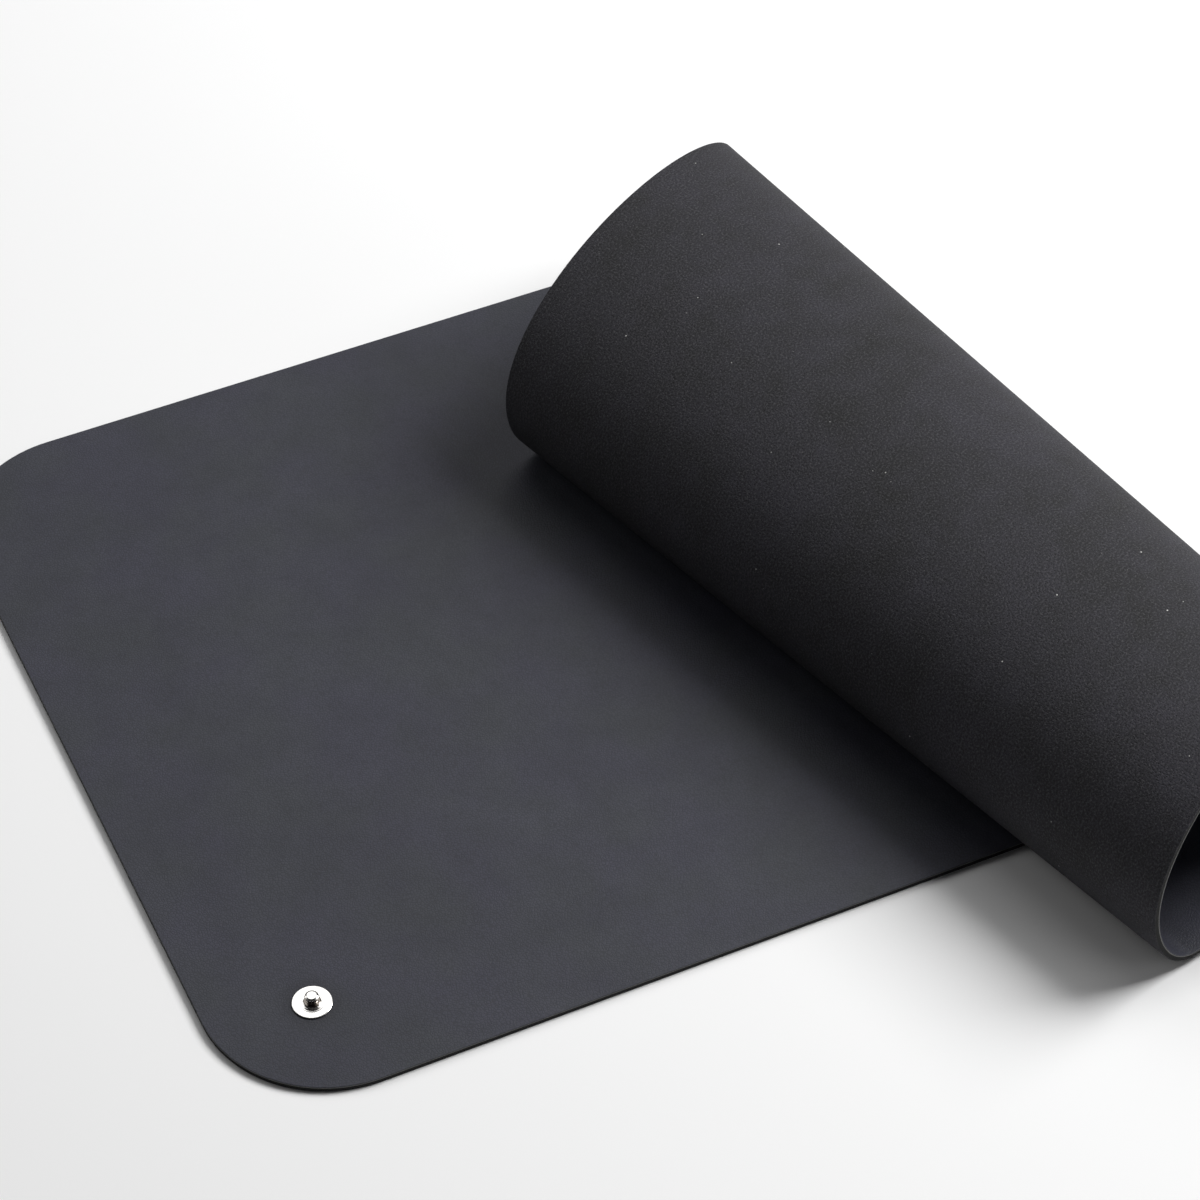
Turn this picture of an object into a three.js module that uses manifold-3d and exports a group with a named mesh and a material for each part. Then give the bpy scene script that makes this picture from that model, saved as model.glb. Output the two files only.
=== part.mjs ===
// Earthing mat, lying on the floor with its far half loosely rolled up.
// Millimetres, +Z up. X runs along the mat, Y across it, the floor is Z = 0.
import * as THREE from 'three';
import Module from 'manifold-3d';

// The flat mat
const MAT_LENGTH = 680;
const MAT_WIDTH = 270;
const CORNER_RADIUS = 37.5;
const BACKING_THICKNESS = 1.5;
const FACE_THICKNESS = 0.5;
const MAT_THICKNESS = BACKING_THICKNESS + FACE_THICKNESS;

// Where the mat leaves the floor: a straight line across it, skewed and part of a slim cone
const LIFT_OFF = 297.4;
const ROLL_HEADING = THREE.MathUtils.degToRad(14);
const CONE_DISTANCE = 1256;

// Section of the roll half way along it, measured from the lift-off line
const RIGHT_REACH = 29.7;
const RIGHT_HEIGHT = 37.3;
const CROWN_SETBACK = 14.6;
const CROWN_HEIGHT = 61.2;
const LEFT_REACH = 75.2;
const LEFT_HEIGHT = 21.1;
const LANDING = 61.8;
const REST_GAP = 0.5;
const TURN_GAP = 1.2;

// How the section leans and settles along the roll, and how far the edges creep in the first turn
// and back again in the inner one
const LEAN = 47.4;
const SETTLE = 34.3;
const EDGE_CREEP = 11.2;
const INNER_CREEP = 20;

// The snap
const SNAP_FROM_SIDE = 29.7;
const SNAP_FROM_EDGE = 31.3;
const FLANGE_DIAMETER = 11.3;
const FLANGE_THICKNESS = 0.45;
const COLLAR_DIAMETER = 4.8;
const COLLAR_HEIGHT = 0.55;
const WAIST_DIAMETER = 2.5;
const WAIST_HEIGHT = 0.35;
const HEAD_DIAMETER = 3.85;
const HEAD_TOP_DIAMETER = 3;
const STUD_HEIGHT = 3.35;
const RIVET_DIAMETER = 1.5;
const RIVET_CAP_DIAMETER = 10;
const RIVET_CAP_THICKNESS = 0.5;
const RIVET_RISE = 2.2;
const FIT_GAP = 0.05;

// Fineness of the facets
const QUARTER_STEPS = 22;
const CORNER_STEPS = 12;
const FLAT_STEP = 9;
const PATH_STEP = 0.5;
const ROUND_STEPS = 48;
const CLOSE_STATION = 0.5;

const up = new THREE.Vector3(0, 0, 1);
const along = new THREE.Vector3(-Math.sin(ROLL_HEADING), Math.cos(ROLL_HEADING), 0);
const outward = new THREE.Vector3(Math.cos(ROLL_HEADING), Math.sin(ROLL_HEADING), 0);
const conePoint = new THREE.Vector3(LIFT_OFF, 0, 0).addScaledVector(along, -CONE_DISTANCE);
const MID_DISTANCE = CONE_DISTANCE + MAT_WIDTH / 2 / Math.cos(ROLL_HEADING);

// The section as one path of quarter ellipses and straight runs
function quarter(path, centreX, centreZ, endX, endZ, startAcross) {
  const start = path[path.length - 1];
  for (let i = 1; i <= QUARTER_STEPS; i += 1) {
    const t = (i / QUARTER_STEPS) * (Math.PI / 2);
    const a = startAcross ? Math.cos(t) : 1 - Math.sin(t);
    const b = startAcross ? Math.sin(t) : 1 - Math.cos(t);
    const x = startAcross ? centreX + (start.x - centreX) * a : start.x + (endX - start.x) * (1 - a);
    const z = startAcross ? centreZ + (endZ - centreZ) * b : start.y + (endZ - start.y) * b;
    path.push(new THREE.Vector2(x, z));
  }
}

function straight(path, endX, endZ) {
  const start = path[path.length - 1];
  const steps = Math.ceil(start.distanceTo(new THREE.Vector2(endX, endZ)) / FLAT_STEP);
  for (let i = 1; i <= steps; i += 1) {
    const x = start.x + ((endX - start.x) * i) / steps;
    const z = start.y + ((endZ - start.y) * i) / steps;
    path.push(new THREE.Vector2(x, z));
  }
}

function sectionPath() {
  const restHeight = MAT_THICKNESS + REST_GAP;
  const inset = MAT_THICKNESS + TURN_GAP;
  const path = [new THREE.Vector2(0, 0)];
  quarter(path, 0, RIGHT_HEIGHT, RIGHT_REACH, RIGHT_HEIGHT, false);
  quarter(path, -CROWN_SETBACK, RIGHT_HEIGHT, -CROWN_SETBACK, CROWN_HEIGHT, true);
  quarter(path, -CROWN_SETBACK, LEFT_HEIGHT, -LEFT_REACH, LEFT_HEIGHT, false);
  quarter(path, -LANDING, LEFT_HEIGHT, -LANDING, restHeight, true);
  const turnEnd = path.length - 1;
  straight(path, 0, restHeight);
  const innerStart = path.length - 1;
  quarter(path, 0, RIGHT_HEIGHT, RIGHT_REACH - inset, RIGHT_HEIGHT, false);
  quarter(path, -CROWN_SETBACK, RIGHT_HEIGHT, -CROWN_SETBACK, CROWN_HEIGHT - inset, true);
  quarter(path, -CROWN_SETBACK, LEFT_HEIGHT, inset - LEFT_REACH, LEFT_HEIGHT, false);
  return { path, turnEnd, innerStart };
}

// A ruling is a straight line of the sheet through the cone's point. Its turn is its angle from
// the lift-off line, and it keeps that angle when the sheet is laid flat.
function buildRulings() {
  const { path, turnEnd, innerStart } = sectionPath();
  const rulings = [];
  let turn = 0;
  let run = 0;
  path.forEach((point, i) => {
    const direction = along.clone().multiplyScalar(MID_DISTANCE);
    direction.addScaledVector(outward, point.x).addScaledVector(up, point.y).normalize();
    if (i > 0) {
      turn += rulings[i - 1].direction.angleTo(direction);
      run += path[i - 1].distanceTo(point);
    }
    rulings.push({ turn, run, direction, height: point.y });
  });
  const turnLength = rulings[turnEnd].run;
  const innerRun = rulings[innerStart].run;
  const lastRun = rulings[rulings.length - 1].run;
  return { rulings, turnLength, innerRun, lastRun };
}

const { rulings, turnLength, innerRun, lastRun } = buildRulings();

// The middle of the sheet's thickness at a turn and a distance from the cone's point
function middle(turn, distance) {
  if (turn <= 0) {
    const angle = ROLL_HEADING - turn;
    const flat = new THREE.Vector3(-Math.sin(angle), Math.cos(angle), 0);
    return flat.multiplyScalar(distance).add(conePoint).addScaledVector(up, MAT_THICKNESS / 2);
  }
  let i = rulings.findIndex((ruling) => ruling.turn >= turn);
  if (i < 1) {
    i = rulings.length - 1;
  }
  const before = rulings[i - 1];
  const after = rulings[i];
  const t = (turn - before.turn) / (after.turn - before.turn);
  const direction = before.direction.clone().lerp(after.direction, t).normalize();
  const height = before.height + (after.height - before.height) * t;
  const run = before.run + (after.run - before.run) * t;
  const firstShare = Math.min(run / turnLength, 1);
  const innerShare = Math.max((run - innerRun) / (lastRun - innerRun), 0);
  const reach = distance - EDGE_CREEP * firstShare + INNER_CREEP * innerShare;
  const share = ((reach / MID_DISTANCE - 1) * height) / CROWN_HEIGHT;
  const point = direction.multiplyScalar(reach).add(conePoint);
  point.addScaledVector(outward, LEAN * share);
  point.addScaledVector(up, MAT_THICKNESS / 2 - SETTLE * share);
  return point;
}

// A point of the sheet at a height above its underside
function sheetPoint(turn, distance, height) {
  const point = middle(turn, distance);
  if (turn <= 0) {
    point.z = height;
    return point;
  }
  const last = rulings[rulings.length - 1].turn;
  const step = PATH_STEP / MID_DISTANCE;
  const ahead = middle(Math.min(turn + step, last), distance);
  const behind = middle(turn - step, distance);
  const across = middle(turn, distance + 1).sub(point);
  const normal = ahead.sub(behind).cross(across).normalize();
  return point.addScaledVector(normal, height - MAT_THICKNESS / 2);
}

// Outline of the flat sheet, as turn and distance, split into a near and a far chain
function outlineChains() {
  const corners = [
    [MAT_LENGTH - CORNER_RADIUS, CORNER_RADIUS, -Math.PI / 2],
    [MAT_LENGTH - CORNER_RADIUS, MAT_WIDTH - CORNER_RADIUS, 0],
    [CORNER_RADIUS, MAT_WIDTH - CORNER_RADIUS, Math.PI / 2],
    [CORNER_RADIUS, CORNER_RADIUS, Math.PI],
  ];
  const outline = [];
  corners.forEach(([x, y, from]) => {
    for (let i = 0; i <= CORNER_STEPS; i += 1) {
      const a = from + (i / CORNER_STEPS) * (Math.PI / 2);
      const dx = x + CORNER_RADIUS * Math.cos(a) - conePoint.x;
      const dy = y + CORNER_RADIUS * Math.sin(a) - conePoint.y;
      outline.push({ turn: ROLL_HEADING - Math.atan2(-dx, dy), dx, dy });
    }
  });
  const turns = outline.map((point) => point.turn);
  const first = turns.indexOf(Math.min(...turns));
  const last = turns.indexOf(Math.max(...turns));
  const chain = (from, to) => {
    const points = [];
    for (let i = from; ; i = (i + 1) % outline.length) {
      points.push(outline[i]);
      if (i === to) {
        return points;
      }
    }
  };
  return { near: chain(first, last), far: chain(last, first).reverse() };
}

function crossing(chain, turn) {
  const angle = ROLL_HEADING - turn;
  const side = (point) => point.dx * Math.cos(angle) + point.dy * Math.sin(angle);
  let i = chain.findIndex((point) => point.turn >= turn);
  i = Math.max(i, 1);
  const a = side(chain[i - 1]);
  const b = side(chain[i]);
  const t = a === b ? 0 : a / (a - b);
  const dx = chain[i - 1].dx + (chain[i].dx - chain[i - 1].dx) * t;
  const dy = chain[i - 1].dy + (chain[i].dy - chain[i - 1].dy) * t;
  return Math.hypot(dx, dy);
}

// Stations: every outline point has its own ruling, and the spaces between are filled in
function buildStations() {
  const { near, far } = outlineChains();
  const first = near[0].turn;
  const last = near[near.length - 1].turn;
  const fixed = [...near, ...far.slice(1, -1)].map((point) => point.turn).sort((a, b) => a - b);
  const fill = rulings.map((ruling) => ruling.turn);
  for (let turn = -FLAT_STEP / MID_DISTANCE; turn > first; turn -= FLAT_STEP / MID_DISTANCE) {
    fill.push(turn);
  }
  const space = CLOSE_STATION / MID_DISTANCE;
  const stations = fixed.filter((turn, i) => i === 0 || turn - fixed[i - 1] > space / 20);
  fill.forEach((turn) => {
    const clear = fixed.every((other) => Math.abs(other - turn) > space);
    if (clear && turn > first && turn < last) {
      stations.push(turn);
    }
  });
  stations.sort((a, b) => a - b);
  return stations.map((turn, i) => {
    const end = i === 0 || i === stations.length - 1;
    const nearDistance = crossing(near, turn);
    const farDistance = end ? nearDistance : crossing(far, turn);
    return { turn, near: nearDistance, far: farDistance, end };
  });
}

// One layer of the sheet as a closed solid between two heights above the underside
function layerGeometry(low, high) {
  const positions = [];
  const index = [];
  const put = (point) => {
    positions.push(point.x, point.y, point.z);
    return positions.length / 3 - 1;
  };
  const rows = buildStations().map((station) => {
    const nearLow = put(sheetPoint(station.turn, station.near, low));
    const nearHigh = put(sheetPoint(station.turn, station.near, high));
    if (station.end) {
      return { nearLow, nearHigh, farLow: nearLow, farHigh: nearHigh };
    }
    const farLow = put(sheetPoint(station.turn, station.far, low));
    const farHigh = put(sheetPoint(station.turn, station.far, high));
    return { nearLow, nearHigh, farLow, farHigh };
  });
  const triangle = (a, b, c) => {
    if (a !== b && b !== c && c !== a) {
      index.push(a, b, c);
    }
  };
  const quad = (a, b, c, d) => {
    triangle(a, b, c);
    triangle(a, c, d);
  };
  for (let i = 1; i < rows.length; i += 1) {
    const p = rows[i - 1];
    const q = rows[i];
    quad(p.nearHigh, q.nearHigh, q.farHigh, p.farHigh);
    quad(p.nearLow, p.farLow, q.farLow, q.nearLow);
    quad(p.nearLow, q.nearLow, q.nearHigh, p.nearHigh);
    quad(p.farLow, p.farHigh, q.farHigh, q.farLow);
  }
  return geometryOf(positions, index);
}

function geometryOf(positions, index) {
  const geometry = new THREE.BufferGeometry();
  geometry.setAttribute('position', new THREE.Float32BufferAttribute(positions, 3));
  geometry.setIndex(index);
  geometry.computeVertexNormals();
  return geometry;
}

// A closed turned solid from a profile of radius and height that starts and ends on the axis
function turned(profile, x, y) {
  const positions = [];
  const index = [];
  const rings = profile.map(([radius, z]) => {
    const start = positions.length / 3;
    const count = radius === 0 ? 1 : ROUND_STEPS;
    for (let i = 0; i < count; i += 1) {
      const a = (i / count) * Math.PI * 2;
      positions.push(x + radius * Math.cos(a), y + radius * Math.sin(a), z);
    }
    return { start, count };
  });
  for (let r = 1; r < rings.length; r += 1) {
    const p = rings[r - 1];
    const q = rings[r];
    for (let i = 0; i < ROUND_STEPS; i += 1) {
      const j = (i + 1) % ROUND_STEPS;
      const p0 = p.start + (i % p.count);
      const p1 = p.start + (j % p.count);
      const q0 = q.start + (i % q.count);
      const q1 = q.start + (j % q.count);
      if (p.count > 1) {
        index.push(p0, p1, q1);
      }
      if (q.count > 1) {
        index.push(p0, q1, q0);
      }
    }
  }
  return geometryOf(positions, index);
}

// Rounded corner points of a turned profile
function rounded(centreR, centreZ, radius, from, to, steps) {
  const points = [];
  for (let i = 0; i <= steps; i += 1) {
    const a = THREE.MathUtils.degToRad(from + ((to - from) * i) / steps);
    points.push([centreR + radius * Math.cos(a), centreZ + radius * Math.sin(a)]);
  }
  return points;
}

const wasm = await Module();
wasm.setup();
const { Manifold, Mesh } = wasm;

function toManifold(geometry) {
  const vertProperties = Float32Array.from(geometry.attributes.position.array);
  const triVerts = Uint32Array.from(geometry.index.array);
  return new Manifold(new Mesh({ numProp: 3, vertProperties, triVerts }));
}

function fromManifold(solid) {
  const mesh = solid.getMesh();
  const positions = [];
  for (let i = 0; i < mesh.vertProperties.length; i += mesh.numProp) {
    positions.push(mesh.vertProperties[i], mesh.vertProperties[i + 1], mesh.vertProperties[i + 2]);
  }
  return geometryOf(positions, Array.from(mesh.triVerts));
}

function cutter(diameter, bottom, top) {
  const radius = diameter / 2;
  return turned([[0, bottom], [radius, bottom], [radius, top], [0, top]], SNAP_FROM_SIDE, SNAP_FROM_EDGE);
}

function cut(geometry, tools) {
  const solid = tools.reduce((body, tool) => body.subtract(toManifold(tool)), toManifold(geometry));
  return fromManifold(solid);
}

// The two bonded layers, each with the snap's hole through it
const throughHole = cutter(RIVET_DIAMETER + 2 * FIT_GAP, -1, MAT_THICKNESS + 1);
const capRecess = cutter(RIVET_CAP_DIAMETER + 2 * FIT_GAP, -1, RIVET_CAP_THICKNESS + FIT_GAP);
const backingGeometry = cut(layerGeometry(0, BACKING_THICKNESS), [throughHole, capRecess]);
const faceGeometry = cut(layerGeometry(BACKING_THICKNESS, MAT_THICKNESS), [throughHole]);

// The stud stands on the face; the rivet comes up through the mat into it
const flangeTop = MAT_THICKNESS + FIT_GAP + FLANGE_THICKNESS;
const collarTop = flangeTop + COLLAR_HEIGHT;
const studTop = MAT_THICKNESS + FIT_GAP + STUD_HEIGHT;
const headRound = (HEAD_DIAMETER - HEAD_TOP_DIAMETER) / 2;
const headMiddle = studTop - headRound;
const socketRadius = RIVET_DIAMETER / 2 + FIT_GAP;
const flangeRadius = FLANGE_DIAMETER / 2;
const studProfile = [
  [0, RIVET_RISE + MAT_THICKNESS + FIT_GAP],
  [socketRadius, RIVET_RISE + MAT_THICKNESS + FIT_GAP],
  [socketRadius, MAT_THICKNESS + FIT_GAP],
  ...rounded(flangeRadius - 0.2, MAT_THICKNESS + FIT_GAP + 0.2, 0.2, -90, 45, 4),
  [COLLAR_DIAMETER / 2 + 0.4, flangeTop],
  ...rounded(COLLAR_DIAMETER / 2 - 0.2, collarTop - 0.2, 0.2, 0, 70, 4),
  [WAIST_DIAMETER / 2 + 0.1, collarTop + 0.15],
  [WAIST_DIAMETER / 2, collarTop + WAIST_HEIGHT],
  ...rounded(HEAD_DIAMETER / 2 - headRound, headMiddle, headRound, -30, 90, 8),
  [0, studTop],
];
const rivetTop = MAT_THICKNESS + RIVET_RISE;
const rivetProfile = [
  [0, 0],
  ...rounded(RIVET_CAP_DIAMETER / 2 - 0.2, 0.2, 0.2, -90, 0, 4),
  [RIVET_CAP_DIAMETER / 2, RIVET_CAP_THICKNESS],
  [RIVET_DIAMETER / 2, RIVET_CAP_THICKNESS],
  [RIVET_DIAMETER / 2, rivetTop - 0.2],
  [RIVET_DIAMETER / 2 - 0.2, rivetTop],
  [0, rivetTop],
];
const studGeometry = turned(studProfile, SNAP_FROM_SIDE, SNAP_FROM_EDGE);
const rivetGeometry = turned(rivetProfile, SNAP_FROM_SIDE, SNAP_FROM_EDGE);

const group = new THREE.Group();
group.name = 'earthing_mat';

function add(name, geometry, color, roughness, metalness) {
  const material = new THREE.MeshStandardMaterial({ color, roughness, metalness });
  const mesh = new THREE.Mesh(geometry, material);
  mesh.name = name;
  group.add(mesh);
}

add('rubber_backing', backingGeometry, 0x1c1c1d, 0.9, 0);
add('leatherette_face', faceGeometry, 0x2b2c31, 0.55, 0);
add('snap_stud', studGeometry, 0xc9c9c6, 0.2, 1);
add('snap_rivet', rivetGeometry, 0xb9b9b6, 0.3, 1);

// The origin is the centre of the box, on the floor
const box = new THREE.Box3().setFromObject(group);
const centre = box.getCenter(new THREE.Vector3());
group.children.forEach((mesh) => mesh.geometry.translate(-centre.x, -centre.y, 0));

export default group;
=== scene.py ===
# %% [markdown]
# # An earthing mat, half of it rolled up
# The mat is a soft sheet made of two layers: a sponge-rubber underside and a thin leatherette face
# bonded onto it. A press stud stands in one corner, where an earth lead clips on.
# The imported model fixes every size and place. This script cuts the same two layers flat, rolls
# them the same way, turns the stud and the rivet, and gives each one its real surface.

# %% Load the fixed frame
import math

import bmesh
import bpy
import numpy as np
from mathutils import Matrix, Vector


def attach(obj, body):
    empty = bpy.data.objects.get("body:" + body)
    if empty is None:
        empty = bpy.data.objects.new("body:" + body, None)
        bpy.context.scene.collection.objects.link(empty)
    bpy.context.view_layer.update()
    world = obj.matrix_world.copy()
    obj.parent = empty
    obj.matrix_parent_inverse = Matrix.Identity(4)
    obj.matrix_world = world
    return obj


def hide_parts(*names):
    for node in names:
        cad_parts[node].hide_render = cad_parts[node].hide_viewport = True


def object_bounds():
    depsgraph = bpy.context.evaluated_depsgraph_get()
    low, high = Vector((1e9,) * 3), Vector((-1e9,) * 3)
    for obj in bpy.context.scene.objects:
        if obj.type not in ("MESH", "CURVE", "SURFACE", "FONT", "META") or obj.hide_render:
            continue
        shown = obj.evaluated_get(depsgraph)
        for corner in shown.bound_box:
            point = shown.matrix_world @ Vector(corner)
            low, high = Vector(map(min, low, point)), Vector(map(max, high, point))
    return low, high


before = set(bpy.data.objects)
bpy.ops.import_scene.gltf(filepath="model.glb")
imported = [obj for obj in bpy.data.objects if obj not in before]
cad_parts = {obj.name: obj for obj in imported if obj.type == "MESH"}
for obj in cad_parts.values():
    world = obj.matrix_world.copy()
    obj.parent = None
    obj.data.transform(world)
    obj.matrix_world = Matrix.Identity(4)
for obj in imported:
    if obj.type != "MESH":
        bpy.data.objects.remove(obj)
cad_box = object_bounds()
print("nodes:", sorted(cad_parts))

# %% [markdown]
# The real mat is cut from sheet goods, so its numbers are those of a cutting list: length, width,
# corner radius and the thickness of each layer. Lengths are in metres, as everywhere in Blender.

# %% Sizes of the flat mat
MM = 0.001
MAT_LENGTH = 680 * MM
MAT_WIDTH = 270 * MM
CORNER_RADIUS = 37.5 * MM
BACKING_THICKNESS = 1.5 * MM
FACE_THICKNESS = 0.5 * MM
MAT_THICKNESS = BACKING_THICKNESS + FACE_THICKNESS
SNAP_FROM_SIDE = 29.7 * MM
SNAP_FROM_EDGE = 31.3 * MM

# %% [markdown]
# A sheet that isn't stretched can only bend along straight lines. The roll isn't square to the
# mat: it leaves the floor along a skewed line and narrows towards one end, so its straight lines
# all point at one far-off point, as they do on a cone. The section of the roll is drawn as quarter
# ellipses: up the right side, over the crown, down the left side, along the floor, and up inside.

# %% Sizes of the roll
LIFT_OFF = 297.4 * MM
ROLL_HEADING = math.radians(14)
CONE_DISTANCE = 1256 * MM
RIGHT_REACH = 29.7 * MM
RIGHT_HEIGHT = 37.3 * MM
CROWN_SETBACK = 14.6 * MM
CROWN_HEIGHT = 61.2 * MM
LEFT_REACH = 75.2 * MM
LEFT_HEIGHT = 21.1 * MM
LANDING = 61.8 * MM
REST_GAP = 0.5 * MM
TURN_GAP = 1.2 * MM
LEAN = 47.4 * MM
SETTLE = 34.3 * MM
EDGE_CREEP = 11.2 * MM
INNER_CREEP = 20 * MM
ALONG = np.array([-math.sin(ROLL_HEADING), math.cos(ROLL_HEADING), 0.0])
OUTWARD = np.array([math.cos(ROLL_HEADING), math.sin(ROLL_HEADING), 0.0])
UP = np.array([0.0, 0.0, 1.0])
CONE_POINT = np.array([LIFT_OFF, 0.0, 0.0]) - ALONG * CONE_DISTANCE
MID_DISTANCE = CONE_DISTANCE + MAT_WIDTH / 2 / math.cos(ROLL_HEADING)
CENTRE = np.array([-cad_box[0][0], MAT_WIDTH - cad_box[1][1], 0.0])
print("mat's own corner sits at", (-CENTRE).round(4))

# %% Draw the section path
QUARTER_STEPS = 66
FLOOR_STEPS = 7


def quarter(path, centre, end, rising):
    start = path[-1]
    for i in range(1, QUARTER_STEPS + 1):
        t = i / QUARTER_STEPS * math.pi / 2
        if rising:
            x = centre[0] + (start[0] - centre[0]) * math.cos(t)
            z = centre[1] + (end[1] - centre[1]) * math.sin(t)
        else:
            x = start[0] + (end[0] - start[0]) * math.sin(t)
            z = start[1] + (end[1] - start[1]) * (1 - math.cos(t))
        path.append((x, z))


def section_path():
    rest = MAT_THICKNESS + REST_GAP
    inset = MAT_THICKNESS + TURN_GAP
    path = [(0.0, 0.0)]
    quarter(path, None, (RIGHT_REACH, RIGHT_HEIGHT), False)
    quarter(path, (-CROWN_SETBACK, RIGHT_HEIGHT), (-CROWN_SETBACK, CROWN_HEIGHT), True)
    quarter(path, None, (-LEFT_REACH, LEFT_HEIGHT), False)
    quarter(path, (-LANDING, LEFT_HEIGHT), (-LANDING, rest), True)
    turn_end = len(path) - 1
    for i in range(1, FLOOR_STEPS + 1):
        path.append((-LANDING * (1 - i / FLOOR_STEPS), rest))
    inner_start = len(path) - 1
    quarter(path, None, (RIGHT_REACH - inset, RIGHT_HEIGHT), False)
    quarter(path, (-CROWN_SETBACK, RIGHT_HEIGHT), (-CROWN_SETBACK, CROWN_HEIGHT - inset), True)
    quarter(path, None, (inset - LEFT_REACH, LEFT_HEIGHT), False)
    return np.array(path), turn_end, inner_start


PATH, TURN_END, INNER_START = section_path()
RAYS = ALONG * MID_DISTANCE + PATH[:, :1] * OUTWARD + PATH[:, 1:] * UP
RAYS /= np.linalg.norm(RAYS, axis=1)[:, None]
TURNS = np.concatenate([[0], np.cumsum(2 * np.arcsin(np.linalg.norm(np.diff(RAYS, axis=0), axis=1) / 2))])
RUNS = np.concatenate([[0], np.cumsum(np.linalg.norm(np.diff(PATH, axis=0), axis=1))])
print("the roll turns through", round(math.degrees(TURNS[-1]), 2), "degrees of the cone")

# %% [markdown]
# Every point of the sheet is known by where it lies on the flat mat. To roll it, its direction
# from the cone's point is turned up out of the floor by the same angle, and its distance from that
# point is kept, so nothing is stretched. The section also leans and settles a little along the
# roll, because soft rubber sags. The thickness is then added along the surface's normal.

# %% Roll the flat sheet
FORWARD_STEP = 0.5 * MM
ACROSS_STEP = 1 * MM


def middle(turn, distance):
    held = np.clip(turn, 0, TURNS[-1])
    ray = np.stack([np.interp(held, TURNS, RAYS[:, k]) for k in range(3)], 1)
    ray /= np.linalg.norm(ray, axis=1)[:, None]
    angle = ROLL_HEADING - turn
    flat = np.stack([-np.sin(angle), np.cos(angle), 0 * angle], 1)
    ray = np.where((turn <= 0)[:, None], flat, ray)
    height = np.interp(held, TURNS, PATH[:, 1])
    run = np.interp(held, TURNS, RUNS)
    first_share = np.minimum(run / RUNS[TURN_END], 1)
    inner_share = np.maximum((run - RUNS[INNER_START]) / (RUNS[-1] - RUNS[INNER_START]), 0)
    reach = distance - EDGE_CREEP * first_share + INNER_CREEP * inner_share
    share = (reach / MID_DISTANCE - 1) * height / CROWN_HEIGHT
    sag = share[:, None] * (LEAN * OUTWARD - SETTLE * UP)
    return CONE_POINT + ray * reach[:, None] + sag + MAT_THICKNESS / 2 * UP


def roll_up(flat):
    offset = flat - CONE_POINT
    turn = ROLL_HEADING - np.arctan2(-offset[:, 0], offset[:, 1])
    distance = np.hypot(offset[:, 0], offset[:, 1])
    step = FORWARD_STEP / MID_DISTANCE
    place = middle(turn, distance)
    forward = middle(np.minimum(turn + step, TURNS[-1]), distance) - middle(turn - step, distance)
    across = middle(turn, distance + ACROSS_STEP) - place
    normal = np.cross(forward, across)
    normal /= np.linalg.norm(normal, axis=1)[:, None]
    rolled = place + normal * (flat[:, 2:] - MAT_THICKNESS / 2)
    return np.where((turn <= 0)[:, None], flat, rolled) - CENTRE


# %% [markdown]
# Each layer is cut flat first, as the real one is: a rectangle with its four corners rounded,
# given its thickness, with the cut edge very slightly eased. Straight cuts are then laid across it
# where it has to bend, all pointing at the cone's point, so that every strip between two cuts can
# stay flat in the roll. A drill hole for the rivet comes last, and then the layer is rolled up.

# %% Cut a layer flat
FLAT_STEP = 8 * MM
FLAT_TURN = math.radians(13.7)
CROSS_STEP = 9 * MM
BEND_EVERY = 2
CORNER_STEPS = 24
TINY = 1e-7


def bend_cuts():
    cuts = list(TURNS[::BEND_EVERY])
    turn = -FLAT_STEP / MID_DISTANCE
    while turn > -FLAT_TURN:
        cuts.append(turn)
        turn -= FLAT_STEP / MID_DISTANCE
    return cuts


def cut_across(bm, point, normal):
    geometry = bm.verts[:] + bm.edges[:] + bm.faces[:]
    bmesh.ops.bisect_plane(bm, geom=geometry, dist=TINY, plane_co=point, plane_no=normal)


def flat_layer(low, high, ease_top, ease_bottom):
    bm = bmesh.new()
    bmesh.ops.create_grid(bm, x_segments=1, y_segments=1, size=0.5)
    bmesh.ops.scale(bm, vec=(MAT_LENGTH, MAT_WIDTH, 1), verts=bm.verts)
    bmesh.ops.translate(bm, vec=(MAT_LENGTH / 2, MAT_WIDTH / 2, low), verts=bm.verts)
    bmesh.ops.bevel(bm, geom=bm.verts[:], offset=CORNER_RADIUS, offset_type="OFFSET", segments=CORNER_STEPS,
                    profile=0.5, affect="VERTICES", material=-1)
    bmesh.ops.solidify(bm, geom=bm.faces[:], thickness=high - low)
    middle_z = sum(v.co.z for v in bm.verts) / len(bm.verts)
    for v in bm.verts:
        v.co.z = high if v.co.z > middle_z else low
    bmesh.ops.recalc_face_normals(bm, faces=bm.faces)
    for level, ease in ((high, ease_top), (low, ease_bottom)):
        rim = [e for e in bm.edges if all(abs(v.co.z - level) < TINY for v in e.verts)]
        if ease:
            bmesh.ops.bevel(bm, geom=rim, offset=ease, segments=2, profile=0.5, affect="EDGES",
                            material=-1)
    for turn in bend_cuts():
        angle = ROLL_HEADING - turn
        cut_across(bm, CONE_POINT, (math.cos(angle), math.sin(angle), 0))
    for i in range(1, int(MAT_WIDTH / CROSS_STEP)):
        cut_across(bm, (0, i * CROSS_STEP, 0), (0, 1, 0))
    return bm


# %% Drill, tell the cut edge apart, and roll
HOLE_STEPS = 64
EDGE_STEEPNESS = 0.3
CREASE_ANGLE = math.radians(12)


def new_object(name, bm):
    mesh = bpy.data.meshes.new(name)
    bm.to_mesh(mesh)
    bm.free()
    piece = bpy.data.objects.new(name, mesh)
    bpy.context.scene.collection.objects.link(piece)
    return piece


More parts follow.
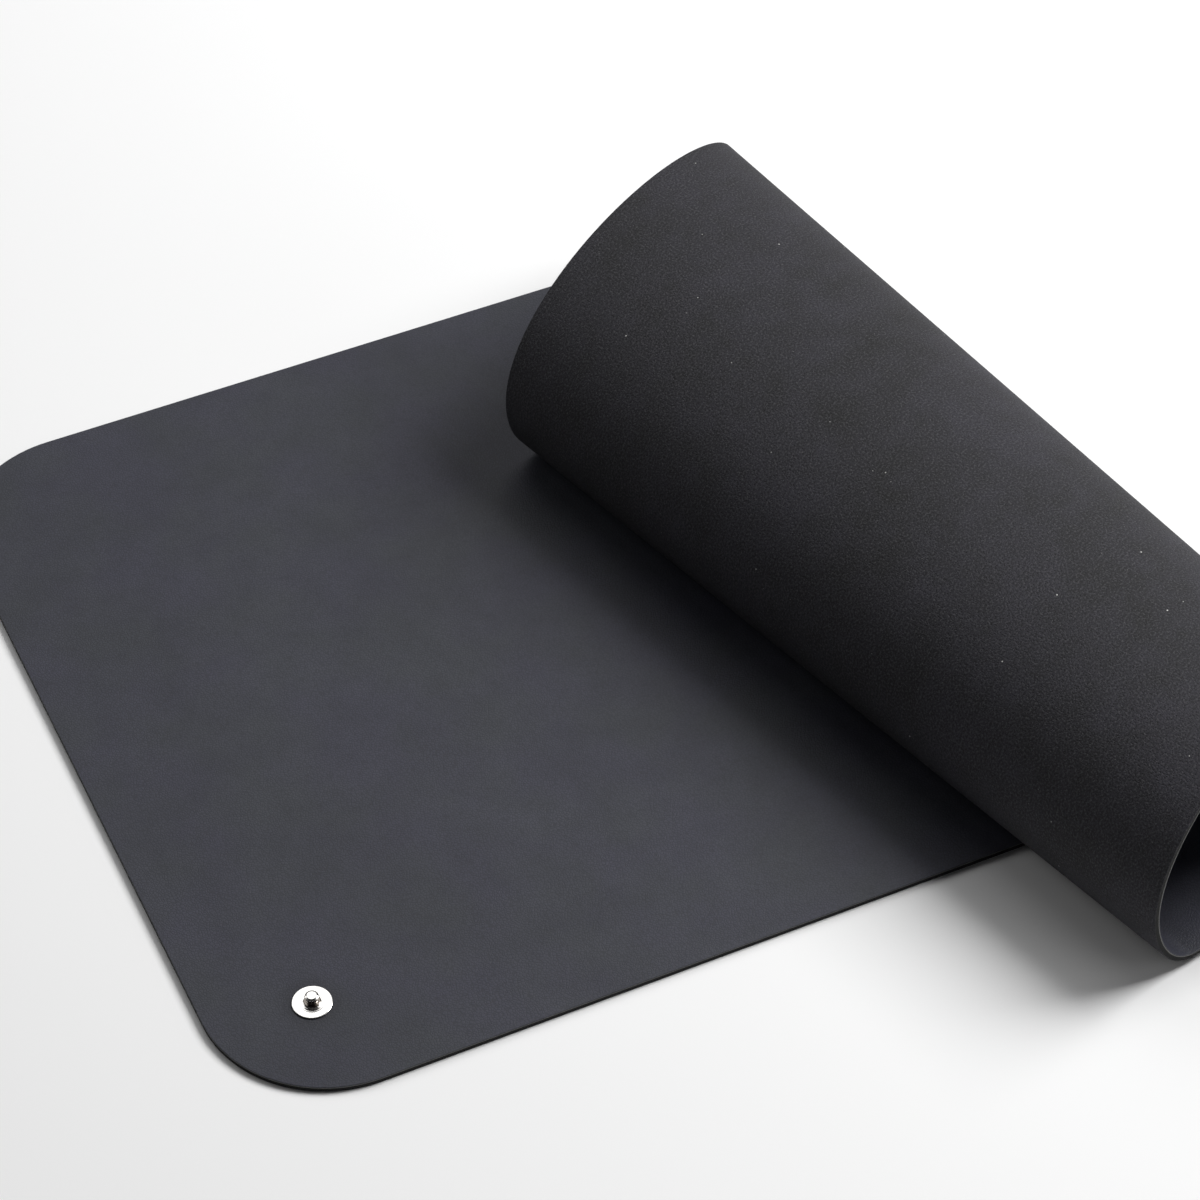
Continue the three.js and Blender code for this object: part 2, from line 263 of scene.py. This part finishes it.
def drill(piece, diameter, low, high):
    bm = bmesh.new()
    bmesh.ops.create_cone(bm, cap_ends=True, segments=HOLE_STEPS, radius1=diameter / 2, radius2=diameter / 2,
                          depth=high - low)
    bmesh.ops.translate(bm, vec=(SNAP_FROM_SIDE, SNAP_FROM_EDGE, (low + high) / 2), verts=bm.verts)
    tool = new_object("drill", bm)
    cut = piece.modifiers.new("drill", "BOOLEAN")
    cut.operation, cut.object, cut.solver = "DIFFERENCE", tool, "EXACT"
    evaluated = piece.evaluated_get(bpy.context.evaluated_depsgraph_get())
    drilled = bpy.data.meshes.new_from_object(evaluated)
    piece.modifiers.clear()
    piece.data = drilled
    bpy.data.objects.remove(tool)


def finish_layer(piece):
    mesh = piece.data
    flat = np.empty(len(mesh.vertices) * 3, dtype=np.float32)
    mesh.vertices.foreach_get("co", flat)
    flat = flat.reshape(-1, 3).astype(float)
    cut_from_sheet = mesh.attributes.new("flat_place", "FLOAT_VECTOR", "POINT")
    cut_from_sheet.data.foreach_set("vector", flat.astype(np.float32).ravel())
    for face in mesh.polygons:
        face.use_smooth = True
        face.material_index = 1 if abs(face.normal.z) < EDGE_STEEPNESS else 0
    bm = bmesh.new()
    bm.from_mesh(mesh)
    for edge in bm.edges:
        if len(edge.link_faces) == 2 and edge.calc_face_angle(0) > CREASE_ANGLE:
            edge.smooth = False
    bm.to_mesh(mesh)
    bm.free()
    mesh.vertices.foreach_set("co", roll_up(flat).astype(np.float32).ravel())
    mesh.update()
    print(piece.name, len(mesh.vertices), "points,", len(mesh.polygons), "faces")


# %% [markdown]
# ## The surfaces
# A material is a small chain of nodes. On the two sheets each chain starts from the point's place
# on the flat mat, so the grain bends with the sheet. On the plated pieces it starts from the point's
# place in space. Every chain ends in one Principled shader, and the helpers keep it short to read.

# %% Helpers for materials
class Surface:
    def __init__(self, name):
        self.material = bpy.data.materials.new(name)
        self.material.use_nodes = True
        self.tree = self.material.node_tree
        self.shader = self.tree.nodes["Principled BSDF"]

    def node(self, kind, **settings):
        made = self.tree.nodes.new(kind)
        for key, value in settings.items():
            if hasattr(made, key):
                setattr(made, key, value)
            else:
                made.inputs[key.replace("_", " ")].default_value = value
        return made

    def link(self, source, target):
        self.tree.links.new(source, target)

    def flat_place(self):
        return self.node("ShaderNodeAttribute", attribute_name="flat_place").outputs["Vector"]

    def own_place(self):
        return self.node("ShaderNodeTexCoord").outputs["Object"]

    def noise(self, place, scale, detail=2.0, roughness=0.5):
        made = self.node("ShaderNodeTexNoise", Scale=scale, Detail=detail, Roughness=roughness)
        self.link(place, made.inputs["Vector"])
        return made.outputs["Fac"]

    def cells(self, place, scale, feature="F1", output="Distance"):
        made = self.node("ShaderNodeTexVoronoi", feature=feature, Scale=scale)
        self.link(place, made.inputs["Vector"])
        return made.outputs[output]

    def spread(self, value, low, high, to_low, to_high, smooth=False):
        made = self.node("ShaderNodeMapRange", From_Min=low, From_Max=high, To_Min=to_low, To_Max=to_high)
        if smooth:
            made.interpolation_type = "SMOOTHSTEP"
        self.link(value, made.inputs["Value"])
        return made.outputs["Result"]

    def combine(self, first, second, operation="ADD"):
        made = self.node("ShaderNodeMath", operation=operation)
        for source, target in zip((first, second), made.inputs):
            if isinstance(source, (int, float)):
                target.default_value = source
            else:
                self.link(source, target)
        return made.outputs["Value"]

    def mix(self, factor, first, second):
        made = self.node("ShaderNodeMix", data_type="RGBA")
        self.link(factor, made.inputs[0])
        for source, target in ((first, made.inputs[6]), (second, made.inputs[7])):
            if isinstance(source, tuple):
                target.default_value = (*source, 1)
            else:
                self.link(source, target)
        return made.outputs[2]

    def bump(self, height, distance, strength=1.0, under=None):
        made = self.node("ShaderNodeBump", Distance=distance, Strength=strength)
        self.link(height, made.inputs["Height"])
        if under is not None:
            self.link(under, made.inputs["Normal"])
        return made.outputs["Normal"]

    def finish(self, **sockets):
        for key, value in sockets.items():
            target = self.shader.inputs[key.replace("_", " ")]
            if isinstance(value, (int, float, tuple)):
                target.default_value = value
            else:
                self.link(value, target)
        return self.material


# %% [markdown]
# Leatherette is a plastic skin pressed with a leather grain: small low pebbles about a millimetre
# across with fine creases between them, over a softer unevenness from the sponge underneath. It is
# a dark blue-grey with a quiet satin shine. Voronoi cells give the pebbles, and noise the rest. The
# colour is painted darker in the creases and in a ring round the snap: both are painted shade.

# %% Leatherette
def make_leatherette():
    surface = Surface("leatherette")
    place = surface.flat_place()
    warp = surface.node("ShaderNodeVectorMath", operation="ADD")
    wander = surface.node("ShaderNodeTexNoise", Scale=700.0, Detail=2.0)
    surface.link(place, wander.inputs["Vector"])
    small = surface.node("ShaderNodeVectorMath", operation="SCALE")
    small.inputs["Scale"].default_value = 0.0006
    surface.link(wander.outputs["Color"], small.inputs[0])
    surface.link(place, warp.inputs[0])
    surface.link(small.outputs[0], warp.inputs[1])
    crease = surface.cells(warp.outputs[0], 1150.0, "DISTANCE_TO_EDGE")
    pebble = surface.spread(crease, 0.0, 0.22, 0.0, 1.0, smooth=True)
    fine = surface.noise(place, 2600.0, 3.0)
    soft = surface.noise(place, 160.0, 3.0)
    cloud = surface.noise(place, 21.0, 5.0, 0.62)
    blotch = surface.noise(place, 95.0, 3.0, 0.6)
    hue = surface.noise(place, 31.0, 3.0, 0.55)
    clouded = surface.spread(cloud, 0.32, 0.68, 0.0, 0.65)
    tone = surface.combine(clouded, surface.spread(blotch, 0.3, 0.7, 0.0, 0.35))
    bluish = surface.mix(tone, (0.0278, 0.0286, 0.0425), (0.0472, 0.0475, 0.0685))
    greenish = surface.mix(tone, (0.0278, 0.0302, 0.0392), (0.0472, 0.0502, 0.062))
    colour = surface.mix(surface.spread(hue, 0.38, 0.62, 0.0, 1.0), bluish, greenish)
    # Painted shade: the colour goes darker in the creases between the pebbles.
    painted_crease_shade = surface.spread(pebble, 0.0, 1.0, 0.45, 0.0)
    colour = surface.mix(painted_crease_shade, colour, (0.014, 0.0145, 0.018))
    # Painted shade: the skin is painted darker in a ring round the snap, where the stud's shadow falls.
    from_snap = surface.node("ShaderNodeVectorMath", operation="DISTANCE")
    from_snap.inputs[1].default_value = (SNAP_FROM_SIDE, SNAP_FROM_EDGE, MAT_THICKNESS)
    surface.link(place, from_snap.inputs[0])
    painted_snap_shade = surface.spread(from_snap.outputs["Value"], 5.5 * MM, 11 * MM, 0.4, 0.0, smooth=True)
    colour = surface.mix(painted_snap_shade, colour, (0.012, 0.0125, 0.016))
    height = surface.combine(pebble, surface.combine(fine, 0.5, "MULTIPLY"))
    low = surface.bump(soft, 0.00014, 0.5)
    normal = surface.bump(height, 0.000045, 0.7, low)
    rough = surface.spread(surface.combine(cloud, fine), 0.7, 1.3, 0.5, 0.6)
    return surface.finish(Base_Color=colour, Roughness=rough, Normal=normal, IOR=1.42)


# %% [markdown]
# The leatherette is a dark plastic skin on a pale knitted cloth. Where it is cut, the cloth shows as
# a thin light line between the black rubber and the dark skin.

# %% Cut edge of the leatherette
SKIN_THICKNESS = 0.24 * MM
SKIN_BLUR = 0.03 * MM
CLOTH_TOP = MAT_THICKNESS - SKIN_THICKNESS


def make_face_edge():
    surface = Surface("leatherette cut edge")
    place = surface.flat_place()
    fibre = surface.noise(place, 3200.0, 3.0)
    cloth = surface.mix(surface.spread(fibre, 0.3, 0.7, 0.0, 1.0), (0.09, 0.09, 0.087), (0.21, 0.21, 0.203))
    height = surface.node("ShaderNodeSeparateXYZ")
    surface.link(place, height.inputs[0])
    skin = surface.spread(height.outputs["Z"], CLOTH_TOP - SKIN_BLUR, CLOTH_TOP + SKIN_BLUR, 0.0, 1.0)
    colour = surface.mix(skin, cloth, (0.022, 0.023, 0.028))
    return surface.finish(Base_Color=colour, Roughness=0.85, Normal=surface.bump(fibre, 0.00006), IOR=1.4)


# %% [markdown]
# The underside is fine black sponge rubber. Its skin is matt and gritty like fine sandpaper. Its
# colour is painted lighter on the tiny raised grains, a painted highlight, and darker in the pores
# between them, painted shade. A few specks of pale filler show, and handling has left faint clouds
# on it.

# %% Sponge rubber
def make_rubber():
    surface = Surface("sponge rubber")
    place = surface.flat_place()
    cloud = surface.noise(place, 20.0, 6.0, 0.66)
    blotch = surface.noise(place, 95.0, 3.0, 0.6)
    grit = surface.noise(place, 1500.0, 4.0, 0.75)
    pores = surface.spread(surface.cells(place, 1500.0), 0.1, 0.5, 0.0, 1.0, smooth=True)
    clouded = surface.spread(cloud, 0.32, 0.68, 0.0, 0.6)
    tone = surface.combine(clouded, surface.spread(blotch, 0.3, 0.7, 0.0, 0.4))
    colour = surface.mix(tone, (0.0105, 0.0104, 0.0108), (0.0325, 0.031, 0.042))
    # Painted shade darkens the pores and a painted highlight lightens the raised grains.
    painted_pore_shade = surface.spread(grit, 0.37, 0.5, 0.85, 0.0)
    colour = surface.mix(painted_pore_shade, colour, (0.004, 0.004, 0.004))
    light = surface.spread(grit, 0.51, 0.64, 0.0, 0.8)
    colour = surface.mix(light, colour, (0.068, 0.067, 0.071))
    for size, share, shade in ((1150.0, 0.978, 0.2), (640.0, 0.99, 0.9)):
        chance = surface.node("ShaderNodeSeparateColor")
        surface.link(surface.cells(place, size, "F1", "Color"), chance.inputs[0])
        picked = surface.combine(chance.outputs[0], share, "GREATER_THAN")
        blot = surface.spread(surface.cells(place, size), 0.06, 0.2, 1.0, 0.0, smooth=True)
        speck = surface.combine(surface.combine(picked, blot, "MULTIPLY"), chance.outputs[1], "MULTIPLY")
        colour = surface.mix(speck, colour, (shade, shade, shade * 0.96))
    low = surface.bump(surface.noise(place, 240.0, 3.0), 0.00012, 0.5)
    normal = surface.bump(surface.combine(pores, grit), 0.00009, 0.8, low)
    rough = surface.spread(grit, 0.3, 0.7, 0.74, 0.9)
    return surface.finish(Base_Color=colour, Roughness=rough, Normal=normal, IOR=1.42)


# %% [markdown]
# Where the sponge is cut, its tiny open cells swallow the light, so the edge is black. Its colour is
# also painted darker still, as painted shade on an edge that the lights barely reach.

# %% Cut edge of the rubber
def make_rubber_edge():
    surface = Surface("sponge rubber cut edge")
    place = surface.flat_place()
    foam = surface.cells(place, 2600.0)
    wall = surface.spread(foam, 0.0, 0.6, 0.0, 1.0)
    # The foam's own black, painted darker still as painted shade.
    colour = surface.mix(wall, (0.003, 0.003, 0.003), (0.009, 0.009, 0.009))
    return surface.finish(Base_Color=colour, Roughness=0.9, Normal=surface.bump(foam, 0.00006, 0.8), IOR=1.4)


# %% [markdown]
# The snap is pressed steel or brass with bright nickel plate. It mirrors the room, slightly
# softened by fine marks from the press and from handling, so its roughness is low and uneven. The
# neck under the head is painted dark brown: painted shade under the head's overhang.

# %% Nickel plate
NECK_FOOT = (2.75 * MM, 3.05 * MM)
NECK_TOP = (4.85 * MM, 5.15 * MM)


def make_nickel():
    surface = Surface("nickel plate")
    place = surface.own_place()
    marks = surface.noise(place, 900.0, 4.0, 0.7)
    fine = surface.noise(place, 5200.0, 2.0)
    tint = surface.mix(surface.spread(marks, 0.35, 0.7, 0.0, 1.0), (0.86, 0.845, 0.82), (0.80, 0.785, 0.76))
    height = surface.node("ShaderNodeSeparateXYZ")
    surface.link(place, height.inputs[0])
    # Painted shade: the neck between the collar and the head is painted dark brown.
    over_collar = surface.spread(height.outputs["Z"], *NECK_FOOT, 0.0, 1.0, smooth=True)
    under_head = surface.spread(height.outputs["Z"], *NECK_TOP, 0.92, 0.0, smooth=True)
    tint = surface.mix(surface.combine(over_collar, under_head, "MULTIPLY"), tint, (0.16, 0.14, 0.12))
    rough = surface.spread(surface.combine(marks, fine), 0.7, 1.3, 0.1, 0.2)
    normal = surface.bump(marks, 0.000006, 0.15)
    return surface.finish(Base_Color=tint, Metallic=1.0, Roughness=rough, Normal=normal)


LEATHERETTE, FACE_EDGE = make_leatherette(), make_face_edge()
RUBBER, RUBBER_EDGE = make_rubber(), make_rubber_edge()
NICKEL = make_nickel()
print("materials:", [m.name for m in (LEATHERETTE, FACE_EDGE, RUBBER, RUBBER_EDGE, NICKEL)])

# %% [markdown]
# ## The two layers
# Each layer stands for its CAD node and rides on the one body. Both are drilled for the rivet, and the
# rubber has a flat recess for the rivet's cap.

# %% Make the layers
RIVET_DIAMETER = 1.5 * MM
CAP_DIAMETER = 10 * MM
CAP_THICKNESS = 0.5 * MM
HOLE_CLEARANCE = 0.1 * MM
DRILL_OVERRUN = 1 * MM
BACKING_EASE = 0.25 * MM
FACE_EASE = 0.15 * MM


def make_layer(name, node, low, high, ease_top, ease_bottom, materials):
    piece = new_object(name, flat_layer(low, high, ease_top, ease_bottom))
    drill(piece, RIVET_DIAMETER + HOLE_CLEARANCE, low - DRILL_OVERRUN, high + DRILL_OVERRUN)
    drill(piece, CAP_DIAMETER + HOLE_CLEARANCE, -DRILL_OVERRUN, CAP_THICKNESS + HOLE_CLEARANCE / 2)
    piece.data.materials.clear()
    for material in materials:
        piece.data.materials.append(material)
    finish_layer(piece)
    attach(piece, "root")
    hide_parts(node)
    return piece


backing = make_layer("sponge_rubber_backing", "rubber_backing",
                     0, BACKING_THICKNESS, 0, BACKING_EASE, (RUBBER, RUBBER_EDGE))
face = make_layer("leatherette_sheet", "leatherette_face",
                  BACKING_THICKNESS, MAT_THICKNESS, FACE_EASE, 0, (LEATHERETTE, FACE_EDGE))

# %% [markdown]
# ## The snap
# The stud is pressed from sheet metal: a flat disc with a low raised ring, a short collar, a
# narrow waist and a round flat-topped head that the lead's socket grips. It is round, so half its
# section is drawn as a chain of points and spun once around its own axis. The radii and heights of
# the sections are in millimetres.

# %% Turned pieces
SNAP_AXIS = Vector((SNAP_FROM_SIDE - CENTRE[0], SNAP_FROM_EDGE - CENTRE[1], 0))
SPIN_STEPS = 96
SHARP_ANGLE = math.radians(35)


def bend(centre, radius, start, end, steps):
    corner = []
    for i in range(steps + 1):
        a = math.radians(start + (end - start) * i / steps)
        corner.append((centre[0] + radius * math.cos(a), centre[1] + radius * math.sin(a)))
    return corner


def turn_piece(name, profile, node):
    bm = bmesh.new()
    points = [bm.verts.new((SNAP_AXIS.x + r * MM, SNAP_AXIS.y, z * MM)) for r, z in profile]
    edges = [bm.edges.new(pair) for pair in zip(points, points[1:])]
    bmesh.ops.spin(bm, geom=points + edges, cent=SNAP_AXIS, axis=(0, 0, 1), angle=2 * math.pi,
                   steps=SPIN_STEPS, use_merge=True)
    bmesh.ops.remove_doubles(bm, verts=bm.verts, dist=TINY)
    bmesh.ops.recalc_face_normals(bm, faces=bm.faces)
    for f in bm.faces:
        f.smooth = True
    for e in bm.edges:
        if len(e.link_faces) == 2 and e.calc_face_angle(0) > SHARP_ANGLE:
            e.smooth = False
    piece = new_object(name, bm)
    piece.data.materials.append(NICKEL)
    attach(piece, "root")
    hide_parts(node)
    print(name, len(piece.data.polygons), "faces")
    return piece


# %% Stud
FIT_GAP = 0.05
FLANGE_BOTTOM = MAT_THICKNESS / MM + FIT_GAP
FLANGE_TOP = FLANGE_BOTTOM + 0.45
FLANGE_FACE = FLANGE_TOP - 0.02
LIP_RADIUS = 0.22
RING_RISE = 0.05
COLLAR_RADIUS = 2.4
COLLAR_TOP = FLANGE_TOP + 0.55
COLLAR_ROUND = 0.2
WAIST_RADIUS = 1.25
HEAD_RADIUS = 1.925
HEAD_ROUND = 0.36
CROWN_RADIUS = 1.3
STUD_TOP = FLANGE_BOTTOM + 3.35
SOCKET_RADIUS = 0.8
SOCKET_TOP = FLANGE_BOTTOM + 2.2


def flange():
    outline = [(0, SOCKET_TOP), (SOCKET_RADIUS, SOCKET_TOP), (SOCKET_RADIUS, FLANGE_BOTTOM)]
    outline += [(5.3, FLANGE_BOTTOM)]
    outline += bend((5.43, FLANGE_BOTTOM + LIP_RADIUS), LIP_RADIUS, -90, 100, 10)
    return outline + [(5.1, FLANGE_TOP - 0.03), (4.4, FLANGE_FACE), (3.75, FLANGE_FACE)]


def raised_ring():
    outline = [(3.62, FLANGE_TOP - 0.01), (3.5, FLANGE_TOP + 0.02), (3.36, FLANGE_TOP + 0.045)]
    outline += [(3.2, FLANGE_TOP + RING_RISE), (3.05, FLANGE_TOP + 0.045), (2.92, FLANGE_TOP + 0.02)]
    return outline + [(2.8, FLANGE_TOP - 0.01), (2.66, FLANGE_FACE)]


def collar_and_waist():
    outline = [(2.52, FLANGE_TOP), (2.43, FLANGE_TOP + 0.06), (COLLAR_RADIUS, FLANGE_TOP + 0.16)]
    outline += bend((COLLAR_RADIUS - COLLAR_ROUND, COLLAR_TOP - COLLAR_ROUND), COLLAR_ROUND, 0, 80, 6)
    outline += [(1.75, COLLAR_TOP + 0.04), (1.5, COLLAR_TOP + 0.1), (1.34, COLLAR_TOP + 0.2)]
    return outline + [(1.26, COLLAR_TOP + 0.36), (WAIST_RADIUS, COLLAR_TOP + 0.55)]


def head():
    outline = [(1.32, COLLAR_TOP + 0.85), (1.5, COLLAR_TOP + 1.15)]
    outline += bend((HEAD_RADIUS - HEAD_ROUND, STUD_TOP - 0.46), HEAD_ROUND, -30, 72, 10)
    outline += [(1.58, STUD_TOP - 0.085), (1.48, STUD_TOP - 0.05), (1.39, STUD_TOP - 0.018)]
    return outline + [(CROWN_RADIUS, STUD_TOP), (0.6, STUD_TOP), (0, STUD_TOP)]


stud_profile = flange() + raised_ring() + collar_and_waist() + head()
stud = turn_piece("snap_stud_nickel", stud_profile, "snap_stud")

# %% [markdown]
# The rivet's flat cap sits in the underside, and its stem comes up inside the stud.

# %% Rivet
CAP_TOP = CAP_THICKNESS / MM
CAP_ROUND = CAP_TOP / 2
CAP_FLAT = CAP_DIAMETER / MM / 2 - CAP_ROUND
STEM_RADIUS = RIVET_DIAMETER / MM / 2
STEM_ROUND = 0.2
RIVET_TOP = 4.2
rivet_profile = [(0, 0.0), (3.9, 0.0), (4.5, 0.02)]
rivet_profile += bend((CAP_FLAT, CAP_ROUND), CAP_ROUND, -80, 80, 8)
rivet_profile += [(4.4, CAP_TOP), (0.95, CAP_TOP), (0.8, 0.55), (STEM_RADIUS, 0.65)]
rivet_profile += bend((STEM_RADIUS - STEM_ROUND, RIVET_TOP - STEM_ROUND), STEM_ROUND, 0, 90, 5)
rivet_profile += [(0, RIVET_TOP)]
rivet = turn_piece("snap_rivet_nickel", rivet_profile, "snap_rivet")

# %% [markdown]
# ## The studio
# The mat lies on a pale floor. The main light is a softbox high on the right, which leaves the left
# side of the roll dark. A wide one stands behind, where the flat disc of the stud mirrors it to the
# camera and turns white. Two weak ones soften the shadows. The camera is a long lens looking down at
# 46 degrees, so the floor fills the whole picture.

# %% Floor and light
FLOOR_HALF_WIDTH = 6
SOFTBOX_DISTANCE = 1.6
SOFTBOX_TARGET = Vector((0, 0, 0.02))
ROOM_LIGHT = 0.03
floor_bm = bmesh.new()
bmesh.ops.create_grid(floor_bm, x_segments=1, y_segments=1, size=FLOOR_HALF_WIDTH)
floor = new_object("studio_floor", floor_bm)
floor_paint = Surface("pale floor")
floor.data.materials.append(floor_paint.finish(Base_Color=(0.93, 0.93, 0.93, 1), Roughness=0.9))


def softbox(name, turn, rise, size, power):
    a, b = math.radians(turn), math.radians(rise)
    place = Vector((math.cos(a) * math.cos(b), math.sin(a) * math.cos(b), math.sin(b))) * SOFTBOX_DISTANCE
    lamp = bpy.data.lights.new(name, "AREA")
    lamp.shape, lamp.size, lamp.energy = "SQUARE", size, power
    light = bpy.data.objects.new(name, lamp)
    light.location = place
    light.rotation_euler = (SOFTBOX_TARGET - place).to_track_quat("-Z", "Y").to_euler()
    bpy.context.scene.collection.objects.link(light)


softbox("right softbox", 0, 45, 0.8, 29.5)
softbox("front right softbox", 315, 20, 0.8, 2)
softbox("back left softbox", 135, 35, 0.8, 3.4)
softbox("back softbox", 76, 50, 1.15, 6.3)
room = bpy.data.worlds.new("white room")
room.use_nodes = True
room.node_tree.nodes["Background"].inputs["Color"].default_value = (1, 1, 1, 1)
room.node_tree.nodes["Background"].inputs["Strength"].default_value = ROOM_LIGHT
bpy.context.scene.world = room
bpy.context.scene.view_settings.view_transform = "Standard"

# %% Camera
PICTURE_PIXELS = 1200
FOCAL_PIXELS = 4006.81
PITCH, HEADING = math.radians(46.308), math.radians(24.895)
EYE = Vector((-0.183366, -0.614198, 0.867805)) - Vector(CENTRE)
forward = Vector((math.sin(HEADING) * math.cos(PITCH), math.cos(HEADING) * math.cos(PITCH), -math.sin(PITCH)))
right = Vector((math.cos(HEADING), -math.sin(HEADING), 0))
upward = right.cross(forward)
lens = bpy.data.cameras.new("studio camera")
lens.sensor_width = 36
lens.lens = lens.sensor_width * FOCAL_PIXELS / PICTURE_PIXELS
lens.clip_start = 0.01
camera = bpy.data.objects.new("studio camera", lens)
turn_matrix = Matrix((right, upward, -forward)).transposed()
camera.matrix_world = Matrix.Translation(EYE) @ turn_matrix.to_4x4()
bpy.context.scene.collection.objects.link(camera)
bpy.context.scene.camera = camera
print("lens:", round(lens.lens, 1), "mm")
